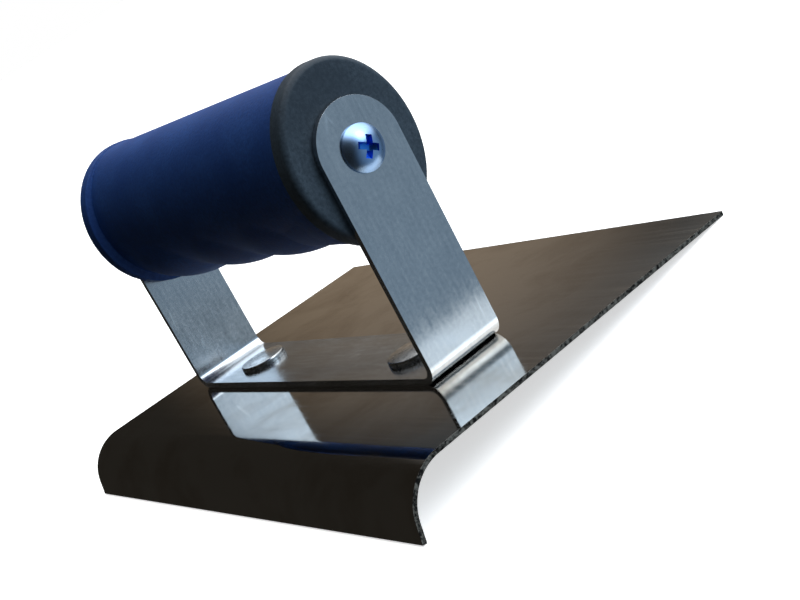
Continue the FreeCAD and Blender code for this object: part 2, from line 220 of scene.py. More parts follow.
def carve(piece: Object, cutters: list[Object], sharp: float = math.radians(35)) -> None:
    """Takes the cutters' shapes out of a piece for good and removes the cutters.

    Args:
        piece: The piece to cut.
        cutters: Closed solids; their faces lend their material numbers to the cut.
        sharp: Faces that meet at more than this angle keep a hard edge.
    """
    for cutter in cutters:
        change = piece.modifiers.new("carve", "BOOLEAN")
        change.operation = "DIFFERENCE"
        change.object = cutter
        change.solver = "EXACT"
    graph = bpy.context.evaluated_depsgraph_get()
    cut = bpy.data.meshes.new_from_object(piece.evaluated_get(graph), depsgraph=graph)
    old = piece.data
    piece.modifiers.clear()
    cut.name = old.name
    piece.data = cut
    bpy.data.meshes.remove(old)
    for cutter in cutters:
        bpy.data.objects.remove(cutter)
    tidy(cut)
    cut.set_sharp_from_angle(angle=sharp)


def ease_edges(piece: Object, width: float, segments: int = 2,
               above: float = math.radians(40)) -> None:
    """Rounds a piece's hard edges with a live bevel.

    Args:
        piece: The piece.
        width: The bevel's width in metres.
        segments: Steps across the bevel.
        above: Only edges sharper than this are rounded.
    """
    bevel = piece.modifiers.new("eased_edges", "BEVEL")
    bevel.width = width
    bevel.segments = segments
    bevel.limit_method = "ANGLE"
    bevel.angle_limit = above
    bevel.harden_normals = True


def dress(piece: Object, finishes: list[Material]) -> None:
    """Gives a piece its materials, in the order of its faces' material numbers."""
    for finish in finishes:
        piece.data.materials.append(finish)


def settle(piece: Object, body: Body, node: str) -> None:
    """Makes a finished piece ride on its body and stand for its CAD node.

    Args:
        piece: The finished piece.
        body: The CAD body that it moves with.
        node: The CAD node that it stands for.
    """
    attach(piece, body.value)
    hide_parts(node)
    log.info("%s rides on %s with %d faces", piece.name, body.value, len(piece.data.polygons))


def shell(name: str, rings: Array, finish: int = 0) -> Object:
    """Makes an object from one run of closed rings.

    Args:
        name: The piece's name.
        rings: Positions, rings by steps by 3.
        finish: Material number of all its faces.

    Returns:
        The object.
    """
    skin = Skin()
    skin.grid(rings, closed=True, finish=finish)
    return skin.build(name)


def turned(profile: Array, centre: Vector, axis: str, steps: int = 96) -> Array:
    """Turns a half profile round an axis.

    Each profile point (along, out) becomes a ring: the point stays at along on the axis while out is carried
    round as (out cos a, out sin a) for evenly spaced angles a.

    Args:
        profile: Points by (along, out), in metres.
        centre: A point on the axis; along is measured from it.
        axis: "x" for an axis along the lip, "z" for an upright one.
        steps: Points round each ring.

    Returns:
        Positions, profile points by steps by 3.
    """
    angle = np.linspace(0, 2 * math.pi, steps, endpoint=False)
    along = np.repeat(profile[:, :1], steps, axis=1)
    one = profile[:, 1:] * np.cos(angle)
    two = profile[:, 1:] * np.sin(angle)
    order = (along, one, two) if axis == "x" else (one, two, along)
    return np.stack(order, axis=-1) + np.array(centre)


def arc(centre: tuple[float, float], radius: float, start: float, end: float, steps: int) -> Array:
    """Points by 2 of an arc: centre plus radius times (cos a, sin a), with a from start to end."""
    angle = np.linspace(start, end, steps)
    return np.stack([centre[0] + radius * np.cos(angle), centre[1] + radius * np.sin(angle)], axis=1)


def line(start: tuple[float, float], end: tuple[float, float], steps: int) -> Array:
    """Evenly spaced points from start to end, as points by 2."""
    return np.linspace(start, end, steps)


def bar(name: str, radius: float, centre: Vector, axis: str, half: float) -> Object:
    """A plain round bar, half a length each way from its centre, that carves a hole and is then removed."""
    profile = np.array([(-half, 0), (-half, radius), (half, radius), (half, 0)])
    return shell(name, turned(profile, centre, axis, 48))


# --- finishes ---

@dataclass(frozen=True)
class Finish:
    """What every finish shares: a new material whose principled shader takes what paint returns."""

    name: str

    def paint(self, tree: Tree) -> dict:
        """Lays out the finish's patterns; returns the shader's inputs by name."""
        raise NotImplementedError

    def build(self) -> Material:
        """Makes the material."""
        material = bpy.data.materials.new(self.name)
        material.use_nodes = True
        tree = material.node_tree
        shader = next(node for node in tree.nodes if node.type == "BSDF_PRINCIPLED")
        feed(tree, shader, self.paint(tree))
        return material


@dataclass(frozen=True)
class PolishedSheetSteel(Finish):
    """Cold rolled carbon steel sheet, buffed along its length to a mirror.

    To the eye it is a clear mirror that bends a little, because the sheet is not quite flat, with hair-thin
    buffing lines along the lip and dull patches where hands and cement have been.
    """

    name: str = "cold_rolled_steel_buffed"
    clean: str = "#CBC7C1"
    stained: str = "#A79B8C"
    line_mm: float = 0.7
    line_length_mm: float = 40.0
    line_depth_mm: float = 0.004
    line_show: float = 0.6
    line_range: Span = (0.35, 0.8)
    line_rough: Span = (0.0, 0.07)
    stain_mm: float = 22.0
    stain_range: Span = (0.45, 0.75)
    stain_rough: Span = (0.035, 0.12)
    wave_mm: float = 30.0
    wave_depth_mm: float = 0.012

    def paint(self, tree: Tree) -> dict:
        """Stretches one noise into buffing lines, spreads stains and bends the sheet a little."""
        place = add(tree, "TexCoord").outputs["Object"]
        along = (per_metre(self.line_length_mm), per_metre(self.line_mm), per_metre(self.line_mm))
        stretched = add(tree, "Mapping", {"Vector": place, "Scale": along})
        lines = add(tree, "TexNoise", {"Vector": stretched, "Scale": 1.0, "Detail": 3.0})
        stains = add(tree, "TexNoise", {"Vector": place, "Scale": per_metre(self.stain_mm), "Detail": 5.0,
                                        "Roughness": 0.6, "Distortion": 0.4})
        spread = add(tree, "MapRange", [stains, *self.stain_range])
        tint = add(tree, "Mix", {0: spread, 6: linear(self.clean), 7: linear(self.stained)}, data_type="RGBA")
        dull = add(tree, "MapRange", [spread, 0, 1, *self.stain_rough])
        grain = add(tree, "MapRange", [lines, *self.line_range, *self.line_rough])
        rough = add(tree, "Math", [dull, grain], operation="ADD")
        wave = add(tree, "TexNoise", {"Vector": place, "Scale": per_metre(self.wave_mm), "Detail": 1.0})
        sheet = add(tree, "Bump", {"Height": wave, "Distance": self.wave_depth_mm * MM, "Strength": 1.0})
        hair = add(tree, "Bump", {"Height": lines, "Distance": self.line_depth_mm * MM,
                                  "Strength": self.line_show, "Normal": sheet})
        return {"Base Color": tint.outputs[2], "Roughness": rough, "Normal": hair, "Metallic": 1.0}


@dataclass(frozen=True)
class MottledMetal(Finish):
    """A metal whose colour, roughness and relief all follow one noise, from low places to high ones."""

    low: str
    high: str
    spot_mm: float
    depth_mm: float
    show: float
    rough: Span
    colour_range: Span = (0.0, 1.0)
    detail: float = 3.0
    roughness_of_noise: float = 0.5
    metallic: float = 1.0

    def paint(self, tree: Tree) -> dict:
        """Draws the one noise and lets it steer everything."""
        place = add(tree, "TexCoord").outputs["Object"]
        spots = add(tree, "TexNoise", {"Vector": place, "Scale": per_metre(self.spot_mm),
                                       "Detail": self.detail, "Roughness": self.roughness_of_noise})
        spread = add(tree, "MapRange", [spots, *self.colour_range])
        tint = add(tree, "Mix", {0: spread, 6: linear(self.low), 7: linear(self.high)}, data_type="RGBA")
        rough = add(tree, "MapRange", [spots, 0, 1, *self.rough])
        dents = add(tree, "Bump", {"Height": spots, "Distance": self.depth_mm * MM, "Strength": self.show})
        return {"Base Color": tint.outputs[2], "Roughness": rough, "Normal": dents, "Metallic": self.metallic}


@dataclass(frozen=True)
class ShearedSteel(MottledMetal):
    """The cut edge of the sheet, torn by the shear and never dressed.

    To the eye it is a thin line that breaks into dark and bright flecks.
    """

    name: str = "carbon_steel_sheared"
    low: str = "#16120F"
    high: str = "#8A8378"
    spot_mm: float = 0.9
    depth_mm: float = 0.08
    show: float = 1.0
    rough: Span = (0.6, 0.3)
    colour_range: Span = (0.42, 0.6)
    detail: float = 4.0
    roughness_of_noise: float = 0.7
    metallic: float = 0.8


@dataclass(frozen=True)
class SatinStripSteel(Finish):
    """Bright rolled steel strip, degreased and bent, with the mill's satin left on.

    To the eye it is an even blue-grey sheen, faintly mottled, with soft rolling lines along the strip and a
    few short fine scratches. The pattern runs on the piece's own map, so it follows the strip round its
    bends.
    """

    name: str = "rolled_strip_steel_satin"
    light: str = "#C3C7CA"
    grey: str = "#A6ACB2"
    scratched: str = "#E8ECF0"
    line_mm: float = 0.8
    line_length_mm: float = 9.0
    line_depth_mm: float = 0.0012
    line_show: float = 0.6
    mottle_mm: float = 0.9
    cloud_mm: float = 14.0
    scratch_mm: float = 7.0
    scratch_length_mm: float = 40.0
    scratch_turn: float = math.radians(28)
    scratch_edge: Span = (0.0, 0.018)
    scratch_range: Span = (0.58, 0.64)
    scratch_show: Span = (0.0, 0.35)
    tint_range: Span = (0.9, 2.1)
    rough_range: Span = (1.2, 1.8)
    rough: Span = (0.17, 0.25)

    def paint(self, tree: Tree) -> dict:
        """Adds lines, mottle and clouds into one pattern and scratches a few of the clouds."""
        follow = add(tree, "UVMap", uv_map="follow")
        along = (per_metre(self.line_length_mm), per_metre(self.line_mm), 1.0)
        stretched = add(tree, "Mapping", {"Vector": follow, "Scale": along})
        lines = add(tree, "TexNoise", {"Vector": stretched, "Scale": 1.0, "Detail": 4.0})
        mottle = add(tree, "TexNoise", {"Vector": follow, "Scale": per_metre(self.mottle_mm), "Detail": 2.0})
        clouds = add(tree, "TexNoise", {"Vector": follow, "Scale": per_metre(self.cloud_mm), "Detail": 4.0})
        fine = add(tree, "Math", [lines, mottle], operation="ADD")
        mixed = add(tree, "Math", [fine, clouds], operation="ADD")
        spread = add(tree, "MapRange", [mixed, *self.tint_range])
        tint = add(tree, "Mix", {0: spread, 6: linear(self.grey), 7: linear(self.light)}, data_type="RGBA")
        slant = (per_metre(self.scratch_length_mm), per_metre(self.scratch_mm), 1.0)
        slanted = add(tree, "Mapping", {"Vector": follow, "Rotation": (0, 0, self.scratch_turn),
                                        "Scale": slant})
        cells = add(tree, "TexVoronoi", {"Vector": slanted, "Scale": 1.0, "Randomness": 1.0},
                    feature="DISTANCE_TO_EDGE")
        scratch = add(tree, "MapRange", [cells, *self.scratch_edge, 1, 0])
        patch = add(tree, "MapRange", [clouds, *self.scratch_range, *self.scratch_show])
        marks = add(tree, "Math", [scratch, patch], operation="MULTIPLY")
        bright = add(tree, "Mix", {0: marks, 6: tint.outputs[2], 7: linear(self.scratched)}, data_type="RGBA")
        rough = add(tree, "MapRange", [mixed, *self.rough_range, *self.rough])
        rolled = add(tree, "Bump", {"Height": fine, "Distance": self.line_depth_mm * MM,
                                    "Strength": self.line_show})
        return {"Base Color": bright.outputs[2], "Roughness": rough, "Normal": rolled, "Metallic": 1.0}


@dataclass(frozen=True)
class HeadedRivetSteel(MottledMetal):
    """Mild steel rivet, cold headed in a die and left bare.

    To the eye it is a bright flat button with small dents and greyer spots.
    """

    name: str = "mild_steel_cold_headed"
    low: str = "#C6C8C8"
    high: str = "#85888A"
    spot_mm: float = 1.6
    depth_mm: float = 0.05
    show: float = 0.6
    rough: Span = (0.16, 0.34)
    colour_range: Span = (0.4, 0.7)


@dataclass(frozen=True)
class ZincPlate(MottledMetal):
    """Bright zinc plate with a clear blue passivate, over a cold headed steel screw.

    To the eye it is a soft bright mirror with a cool cast that strays towards violet in places.
    """

    name: str = "zinc_blue_passivated"
    low: str = "#9CBEE2"
    high: str = "#86A8D8"
    spot_mm: float = 2.5
    depth_mm: float = 0.02
    show: float = 0.5
    rough: Span = (0.24, 0.34)


@dataclass(frozen=True)
class TurnedRodSteel(Finish):
    """Free-cutting steel rod, turned to size on a lathe.

    To the eye it is bright steel with fine rings round it.
    """

    name: str = "free_cutting_steel_turned"
    light: str = "#BDBDBB"
    dark: str = "#8C8B88"
    ring_mm: float = 0.4
    ring_depth_mm: float = 0.02
    ring_show: float = 0.8
    rough: float = 0.28

    def paint(self, tree: Tree) -> dict:
        """Draws rings with a noise that changes along the rod only."""
        place = add(tree, "TexCoord").outputs["Object"]
        rings_only = add(tree, "Mapping", {"Vector": place, "Scale": (per_metre(self.ring_mm), 0.0, 0.0)})
        rings = add(tree, "TexNoise", {"Vector": rings_only, "Scale": 1.0, "Detail": 2.0})
        tint = add(tree, "Mix", {0: rings, 6: linear(self.light), 7: linear(self.dark)}, data_type="RGBA")
        cut = add(tree, "Bump", {"Height": rings, "Distance": self.ring_depth_mm * MM,
                                 "Strength": self.ring_show})
        return {"Base Color": tint.outputs[2], "Roughness": self.rough, "Normal": cut, "Metallic": 1.0}


@dataclass(frozen=True)
class MouldedPlastic(Finish):
    """Injection moulded polypropylene with the tool's spark-eroded grain.

    To the eye it is a matt skin whose fine grain breaks up every highlight, a little paler where it is
    rubbed. The grain is drawn a little coarse so that it shows.
    """

    name: str = "polypropylene_moulded"
    base: str = "#153E82"
    shade: str = "#0F2E62"
    rubbed: str = "#2A549A"
    grain_mm: float = 0.7
    grain_depth_mm: float = 0.07
    grain_show: float = 0.8
    rub_mm: float = 14.0
    rub_range: Span = (0.14, 0.42)
    rub_show: Span = (0.0, 0.8)
    rough: Span = (0.5, 0.66)
    gloss: float = 0.28
    refraction: float = 1.49

    def paint(self, tree: Tree) -> dict:
        """Grains the skin with a fine noise; it is paler where grain and clouds are both high."""
        place = add(tree, "TexCoord").outputs["Object"]
        grain = add(tree, "TexNoise", {"Vector": place, "Scale": per_metre(self.grain_mm), "Detail": 3.0,
                                       "Roughness": 0.65})
        clouds = add(tree, "TexNoise", {"Vector": place, "Scale": per_metre(self.rub_mm), "Detail": 5.0})
        tint = add(tree, "Mix", {0: clouds, 6: linear(self.base), 7: linear(self.shade)}, data_type="RGBA")
        worn = add(tree, "Math", [grain, clouds], operation="MULTIPLY")
        rub = add(tree, "MapRange", [worn, *self.rub_range, *self.rub_show])
        colour = add(tree, "Mix", {0: rub, 6: tint.outputs[2], 7: linear(self.rubbed)}, data_type="RGBA")
        rough = add(tree, "MapRange", [grain, 0, 1, *self.rough])
        eroded = add(tree, "Bump", {"Height": grain, "Distance": self.grain_depth_mm * MM,
                                    "Strength": self.grain_show})
        return {"Base Color": colour.outputs[2], "Roughness": rough, "Normal": eroded,
                "IOR": self.refraction, "Specular IOR Level": self.gloss}


@dataclass(frozen=True)
class MattPaper(Finish):
    """Uncoated background paper off a roll, laid flat.

    To the eye it is an even near-white with no sheen; its own faint glow stands in for the room's bounce.
    """

    name: str = "matt_paper"
    pale: str = "#F4F4F3"
    rough: float = 0.9
    gloss: float = 0.1
    glow: float = 0.6

    def paint(self, tree: Tree) -> dict:
        """Plain values only, with no pattern."""
        return {"Base Color": linear(self.pale), "Roughness": self.rough, "Specular IOR Level": self.gloss,
                "Emission Color": (1, 1, 1, 1), "Emission Strength": self.glow}


# --- pieces ---

@dataclass
class Blade:
    """The polished sheet with one long edge rolled over into a lip."""

    inner_radius: float = 10 * MM
    setback: float = 30.5 * MM
    turn: float = math.radians(79)
    hole: float = 5.0 * MM
    flare: float = 6.4 * MM
    flare_depth: float = 0.7 * MM
    tear: float = 0.07 * MM
    tear_seed: int = 11
    end_strip: float = 1.0 * MM
    edge: float = 0.12 * MM
    flat_steps: int = 150
    bend_steps: int = 40
    lip_steps: int = 10
    low: Vector = field(default_factory=lambda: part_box("blade")[0])
    high: Vector = field(default_factory=lambda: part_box("blade")[1])

    def face(self, lift: float) -> Array:
        """One face of the sheet across its depth.

        A straight run from the far edge to the bend, an arc through the turn, and a straight lip along the
        arc's end tangent, whose lowest corner comes down to the CAD blade's lowest point.

        Args:
            lift: Distance above the sole side; 0 is the sole and the sheet's thickness is the top.

        Returns:
            Points by (back, up).
        """
        radius = self.inner_radius + lift
        centre = (-self.setback, -self.inner_radius)
        flat = line((self.high.y, lift), (-self.setback, lift), self.flat_steps)
        bend = arc(centre, radius, QUARTER, QUARTER + self.turn, self.bend_steps)
        inner_end = -self.inner_radius + self.inner_radius * math.cos(self.turn)
        reach = (inner_end - self.low.z) / math.sin(self.turn)
        way = np.array([-math.cos(self.turn), -math.sin(self.turn)])
        lip = bend[-1] + way * np.linspace(0, reach, self.lip_steps)[:, None]
        return np.concatenate([flat, bend[1:], lip[1:]])

    def tears(self, count: int) -> Array:
        """Small seeded steps in or out along a sheared end: noise smoothed over three neighbours."""
        rough = np.random.default_rng(self.tear_seed).uniform(-1, 1, count + 2)
        return (rough[:-2] + rough[1:-1] + rough[2:]) / 3 * self.tear

    def build(self) -> Object:
        """Carries the top and the sole side along the lip, closes all four edges and cuts the rivet holes."""
        top = self.face(self.high.z)
        sole = self.face(0.0)
        loop = np.concatenate([top, sole[::-1]])
        stops = np.array([self.low.x, self.low.x + self.end_strip, 0, self.high.x - self.end_strip,
                          self.high.x])
        across = np.repeat(stops[:, None], len(loop), axis=1)
        ragged = np.abs(self.tears(len(top)))
        across[0] += np.concatenate([ragged, ragged[::-1]])
        across[-1] -= np.concatenate([ragged[::-1], ragged])
        skin = Skin()
        back = np.broadcast_to(loop[:, 0], across.shape)
        up = np.broadcast_to(loop[:, 1], across.shape)
        skin.grid(np.stack([across, back, up], axis=-1), closed=True)
        for row in (0, -1):
            ends = np.stack([across[row], loop[:, 0], loop[:, 1]], axis=-1)
            half = len(top)
            skin.grid(np.stack([ends[:half], ends[half:][::-1]], axis=0), finish=1)
        piece = skin.build("blade_sheet")
        cutters = []
        for side in ("left", "right"):
            low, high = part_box(f"rivet_{side}")
            middle = (low + high) / 2
            cutters.append(self.countersink(Vector((middle.x, middle.y, 0))))
        dress(piece, [PolishedSheetSteel().build(), ShearedSteel().build()])
        carve(piece, cutters)
        ease_edges(piece, self.edge)
        return piece

    def countersink(self, centre: Vector) -> Object:
        """The space of one rivet in the sheet: a straight hole that flares towards the sole.

        Args:
            centre: Where the rivet's axis meets the sole.

        Returns:
            The closed cutter.
        """
        spare = MM
        profile = np.array([(-spare, 0), (-spare, self.flare / 2), (0, self.flare / 2),
                            (self.flare_depth, self.hole / 2), (self.high.z + spare, self.hole / 2),
                            (self.high.z + spare, 0)])
        return shell("rivet_space", turned(profile, centre, "z", 64))


@dataclass
class Bracket:
    """The flat strap bent up at both ends, with round leg tops."""

    inner_radius: float = 2.5 * MM
    strap: float = 1.5 * MM
    rivet_hole: float = 5.0 * MM
    screw_hole: float = 5.1 * MM
    rivet_reach: float = 4 * MM
    screw_reach: float = 14 * MM
    edge: float = 0.28 * MM
    tip_start: float = math.radians(0.5)
    tip_steps: int = 28
    bend_steps: int = 20
    low: Vector = field(default_factory=lambda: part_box("bracket")[0])
    high: Vector = field(default_factory=lambda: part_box("bracket")[1])

    def path(self) -> tuple[Array, Array, Array, Array]:
        """The strap's outer face from one leg top to the other.

        Down the left leg, round a quarter arc, along the base, round the other quarter arc and up the right
        leg. At a leg top the strap's half width follows its round: radius times the sine of an angle that
        grows from almost 0 to a quarter turn, while the distance from the top is radius times one minus the
        cosine.

        Returns:
            Places (x, z), inward directions (x, z), half widths and distances along the strap.
        """
        wide = (self.high.y - self.low.y) / 2
        bend = self.inner_radius + self.strap
        opening = np.linspace(self.tip_start, QUARTER, self.tip_steps)
        fall = wide * (1 - np.cos(opening))
        tip_width = wide * np.sin(opening)
        leg = np.concatenate([self.high.z - fall, [self.low.z + bend]])
        leg_width = np.append(tip_width, wide)
        angles = np.linspace(math.pi, 1.5 * math.pi, self.bend_steps)[1:]
        left_leg = np.stack([np.full(len(leg), self.low.x), leg], axis=1)
        left_bend = np.stack([self.low.x + bend + bend * np.cos(angles),
                              self.low.z + bend + bend * np.sin(angles)], axis=1)
        left_in = np.concatenate([np.tile([1.0, 0.0], (len(leg), 1)),
                                  -np.stack([np.cos(angles), np.sin(angles)], axis=1)])
        left = np.concatenate([left_leg, left_bend])
        middle = self.low.x + self.high.x
        right = np.stack([middle - left[::-1, 0], left[::-1, 1]], axis=1)
        right_in = np.stack([-left_in[::-1, 0], left_in[::-1, 1]], axis=1)
        half = np.concatenate([leg_width, np.full(len(left_bend), wide)])
        places = np.concatenate([left, right])
        steps = np.linalg.norm(np.diff(places, axis=0), axis=1)
        return (places, np.concatenate([left_in, right_in]), np.concatenate([half, half[::-1]]),
                np.concatenate([[0.0], np.cumsum(steps)]))

    def build(self) -> Object:
        """Sets out the strap's four corners at each stop of its path, skins them and cuts its four holes."""
        places, inward, half, run = self.path()
        inner = places + inward * self.strap
        corners = []
        chart = []
        for face, sign in ((places, -1), (places, 1), (inner, 1), (inner, -1)):
            corners.append(np.stack([face[:, 0], sign * half, face[:, 1]], axis=1))
            chart.append(np.stack([run, sign * half], axis=1))
        ring = np.stack(corners, axis=1)
        follow = np.stack(chart, axis=1)
        skin = Skin()
        skin.grid(ring, closed=True, chart=follow)
        for row in (0, -1):
            skin.grid(ring[row].reshape(2, 2, 3), chart=follow[row].reshape(2, 2, 2))
        piece = skin.build("bracket_strap")
        cutters = []
        for side in ("left", "right"):
            low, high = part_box(f"rivet_{side}")
            middle = (low + high) / 2
            cutters.append(bar("rivet_hole", self.rivet_hole / 2, middle, "z", self.rivet_reach))
            low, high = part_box(f"screw_{side}")
            middle = (low + high) / 2
            cutters.append(bar("screw_hole", self.screw_hole / 2, middle, "x", self.screw_reach))
        dress(piece, [SatinStripSteel().build()])
        carve(piece, cutters)
        ease_edges(piece, self.edge, 3)
        return piece


@dataclass
class Fastener:
    """A piece that comes once at each end of the tool; its kind starts its CAD node's name."""

    side: Side
    kind = "fastener"

    @property
    def node(self) -> str:
        """The CAD node's name."""
        return f"{self.kind}_{self.side.name.lower()}"


@dataclass
class Rivet(Fastener):
    """One low-headed rivet through the base and the sheet."""

    kind = "rivet"
    rim: float = 1.1 * MM
    shank: float = 4.96 * MM
    flare: float = 6.36 * MM
    flare_depth: float = 0.7 * MM
    shoulder: float = 0.35 * MM
    corner: float = 0.12 * MM
    crown_share: float = 0.55
    shoulder_foot: float = 0.55

    def build(self, steel: Material) -> Object:
        """Turns the rivet's profile: crowned top, eased shoulder, rim, shank and flared tail.

        The crown falls with the square of the distance from the middle.

        Args:
            steel: The rivets' material.

        Returns:
            The piece.
        """
        low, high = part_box(self.node)
        head = (high.x - low.x) / 2
        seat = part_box("bracket")[0].z + Bracket.strap
        edge_top = seat + self.rim
        crown = high.z - edge_top
        out = np.linspace(0, 1, 24)
        inner = head - self.shoulder
        top = np.stack([high.z - crown * self.crown_share * out ** 2, out * inner], axis=1)
        start = top[-1, 0]
        turn = np.linspace(0, QUARTER, 10)[1:]
        ease = np.stack([start - (start - seat - self.rim * self.shoulder_foot) * (1 - np.cos(turn)),
                         inner + self.shoulder * np.sin(turn)], axis=1)
        rest = np.array([(seat + self.corner, head), (seat, head - self.corner), (seat, self.shank / 2),
                         (low.z + self.flare_depth, self.shank / 2), (low.z, self.flare / 2), (low.z, 0)])
        profile = np.concatenate([top, ease, rest])
        middle = (low + high) / 2
        piece = shell(f"{self.node}_headed", turned(profile, Vector((middle.x, middle.y, 0)), "z"))
        dress(piece, [steel])
        return piece


@dataclass
class Screw(Fastener):
    """One domed cross-recessed screw that clamps a leg to the tie rod."""

    kind = "screw"
    rim: float = 0.5 * MM
    shank: float = 4.98 * MM
    point: float = 0.8 * MM
    span: float = 4.7 * MM
    slot: float = 1.45 * MM
    depth: float = 2.0 * MM
    crown: float = 2.2 * MM
    turn: float = math.radians(60)
    taper_from: float = 0.5
    floor_arm: float = 0.45
    floor_slot: float = 0.75
    corner: float = 0.1 * MM
    edge: float = 0.08 * MM

    def recess(self, top: float, centre: Vector) -> Object:
        """A cross that tapers inwards: its arms run in to a point and its slots narrow a little.

        At each level the outline is a plus sign of twelve corners, half a span long and half a slot wide.

        Args:
            top: Where the dome's top is along the lip.
            centre: A point on the screw's axis.

        Returns:
            The closed cutter, whose faces carry material number 1: the recess's painted shade and reflection.
        """
        levels = np.array([(MM, 1.0, 1.0), (-self.taper_from * self.depth, 1.0, 1.0),
                           (-self.depth, self.floor_arm, self.floor_slot)])
        rings = []
        for lift, arm_scale, slot_scale in levels:
            arm = self.span / 2 * arm_scale
            slot = self.slot / 2 * slot_scale
            quarter = np.array([(arm, -slot), (arm, slot), (slot, slot)])
            angles = np.arange(4) * QUARTER + self.turn
            c, s = np.cos(angles)[:, None], np.sin(angles)[:, None]
            ring = np.stack([quarter[:, 0] * c - quarter[:, 1] * s, quarter[:, 0] * s + quarter[:, 1] * c],
                            axis=-1).reshape(-1, 2)
            along = np.full(len(ring), top + self.side.value * lift)
            rings.append(np.column_stack([along, ring + (centre.y, centre.z)]))
        ends = [np.broadcast_to((ring[0, 0], centre.y, centre.z), ring.shape)
                for ring in (rings[0], rings[-1])]
        return shell("cross_space", np.stack([ends[0], *rings, ends[1]], axis=0), finish=1)

    def build(self, zinc: Material, recess: Material) -> Object:
        """Turns the screw's profile round the grip's axis and cuts the cross into its dome.

        The dome is part of a sphere, whose radius is half head squared plus crown squared, over twice the
        crown.

        Args:
            zinc: The screws' material.
            recess: The material inside the cross. Its deeper, darker blue is painted shade and painted
            reflection in the recess.

        Returns:
            The piece.
        """
        low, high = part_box(self.node)
        centre = Vector((0, (low.y + high.y) / 2, (low.z + high.z) / 2))
        leg_low, leg_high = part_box("bracket")
        seat = leg_high.x if self.side is Side.RIGHT else leg_low.x
        tip = low.x if self.side is Side.RIGHT else high.x
        head = (high.y - low.y) / 2
        crown = self.crown
        dome = (head ** 2 + crown ** 2) / (2 * crown)
        reach = math.asin(head / dome)
        angle = np.linspace(0, reach, 30)
        heights = self.rim + crown - dome * (1 - np.cos(angle))
        top = np.stack([heights, dome * np.sin(angle)], axis=1)
        length = abs(seat - tip)
        rest = np.array([(self.corner, head), (0.0, head - self.corner), (0.0, self.shank / 2),
                         (self.point - length, self.shank / 2), (-length, self.shank / 2 - self.point),
                         (-length, 0)])
        profile = np.concatenate([top, rest])
        profile[:, 0] = seat + self.side.value * profile[:, 0]
        piece = shell(f"{self.node}_domed", turned(profile, centre, "x", 128))
        dress(piece, [zinc, recess])
        carve(piece, [self.recess(seat + self.side.value * (self.rim + crown), centre)])
        ease_edges(piece, self.edge)
        return piece


def oval_reach(angle: Array, wide: Array, tall: Array) -> Array:
    """Distance from an ellipse's middle to its rim: w t over the root of (t cos a)^2 + (w sin a)^2."""
    return wide * tall / np.sqrt((tall * np.cos(angle)) ** 2 + (wide * np.sin(angle)) ** 2)


def oval_rings(profile: Array, centre: Vector, steps: int,
               swell: Callable | None = None) -> Array:
    """Carries a profile of ellipses along the lip.

    Args:
        profile: Points by (along, half width, half height, lift), in metres; lift raises an ellipse's middle.
        centre: The grip's axis; along is measured from it.
        steps: Points round each ring.
        swell: Optional function of (along, angle, reach) that returns the reach to use.

    Returns:
        Positions, profile points by steps by 3.
    """
    angle = np.linspace(0, 2 * math.pi, steps, endpoint=False)[None, :]
    reach = oval_reach(angle, profile[:, 1:2], profile[:, 2:3])
    if swell is not None:
        reach = swell(profile[:, :1], angle, reach)
    along = np.broadcast_to(profile[:, :1], reach.shape)
    up = reach * np.sin(angle) + profile[:, 3:4]
    return np.stack([along, reach * np.cos(angle), up], axis=-1) + np.array(centre)


def lifted(lift: float, *runs: Array) -> Array:
    """Profile runs laid end to end, each ring's middle raised by lift."""
    joined = np.concatenate(runs)
    return np.column_stack([joined, np.full(len(joined), lift)])


def rim_round(along: float, wide: float, tall: float, radius: float, start: float, end: float,
              steps: int = 10) -> Array:
    """A rounded rim on an ellipse: each ring shrinks or grows by the same arc offset on both half sizes.

    Args:
        along: Where the arc's centre is along the lip.
        wide: Half width at the arc's centre.
        tall: Half height at the arc's centre.
        radius: The round's radius.
        start: First angle; 0 points outwards and a quarter turn points along the lip.
        end: Last angle.
        steps: Number of rings.

    Returns:
        Points by (along, half width, half height).
    """
    angle = np.linspace(start, end, steps)
    out = radius * np.cos(angle)
    return np.stack([along + radius * np.sin(angle), wide + out, tall + out], axis=1)


